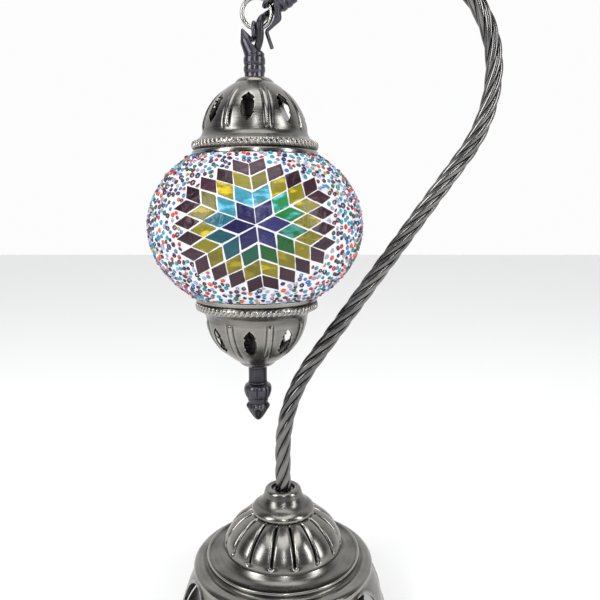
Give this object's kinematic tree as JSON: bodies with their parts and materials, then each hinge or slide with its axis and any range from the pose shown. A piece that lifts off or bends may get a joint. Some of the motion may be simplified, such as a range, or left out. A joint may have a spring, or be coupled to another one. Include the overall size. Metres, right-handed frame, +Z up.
{
  "type": "mosaic glass table lamp",
  "caption": "Table lamp with a round pierced metal base, a twisted rope arm that curls over, and a mosaic glass lantern hanging from a split ring.",
  "frame": {"origin": "on the axis of the round base, at the underside of the felt pad that it stands on", "axes": "+Z up along the base's axis; +X the side the arm bows out to; the lantern hangs on the -X side of the base's axis, in the XZ plane; -Y is the side with a mosaic star facing out"},
  "size_m": [0.2155, 0.1386, 0.4271],
  "materials": {
    "felt": "matte",
    "zinc_steel": "satin",
    "weight_iron": "matte",
    "antique_brass": "satin",
    "gunmetal": "satin",
    "spring_steel": "satin",
    "black_flex": "satin",
    "bakelite": "satin",
    "bright_brass": "satin",
    "bulb_glass": "gloss",
    "filament_wire": "satin",
    "globe_glass": "gloss",
    "plaster": "matte",
    "bead_glass": "gloss",
    "indigo_glass": "gloss",
    "teal_glass": "gloss",
    "gold_glass": "gloss",
    "plum_glass": "gloss"
  },
  "bodies": {
    "stand": {"felt_pad": "felt", "base_plate": "zinc_steel", "plate_screws": "zinc_steel", "base_weight": "weight_iron", "skirt": "antique_brass", "plinth": "antique_brass", "fluted_dome": "antique_brass", "neck_collar": "antique_brass", "stem_tube": "zinc_steel", "stem_washer": "zinc_steel", "stem_nut": "zinc_steel", "cord_grommet": "black_flex", "arm_nut": "gunmetal", "arm_tube": "gunmetal", "arm_hook": "gunmetal", "arm_flex": "black_flex"},
    "ring": {"jump_ring": "spring_steel", "drop_flex": "black_flex"},
    "lantern": {"hanger_hook": "gunmetal", "hanger_nipple": "zinc_steel", "hanger_nut": "zinc_steel", "top_cap": "antique_brass", "top_clip": "spring_steel", "holder_flex": "black_flex", "holder_cap": "bakelite", "holder_body": "bakelite", "holder_sleeve": "bright_brass", "holder_contact": "bright_brass", "bulb_cap": "bright_brass", "bulb_insulator": "bakelite", "bulb_contact": "bright_brass", "bulb_stem": "bulb_glass", "bulb_filament": "filament_wire", "bulb_glass": "bulb_glass", "globe_glass": "globe_glass", "plaster_coat": "plaster", "bead_coat": "bead_glass", "tiles_indigo": "indigo_glass", "tiles_teal": "teal_glass", "tiles_gold": "gold_glass", "tiles_plum": "plum_glass", "bottom_cap": "antique_brass", "bottom_clip": "spring_steel", "bottom_stud": "zinc_steel", "bottom_nut": "zinc_steel", "finial_neck": "gunmetal", "finial": "gunmetal"}
  },
  "joints": [
    {"name": "ring_swing", "type": "hinge", "parent": "stand", "child": "ring", "pos_m": [-0.0078, 0, 0.39386], "axis": [1, 0, 0], "range_deg": [-15, 15], "deforming": ["drop_flex"]},
    {"name": "lantern_swing", "type": "hinge", "parent": "ring", "child": "lantern", "pos_m": [-0.016, 0, 0.3823], "axis": [0, 1, 0], "range_deg": [-1.5, 15], "deforming": ["drop_flex"]}
  ]
}
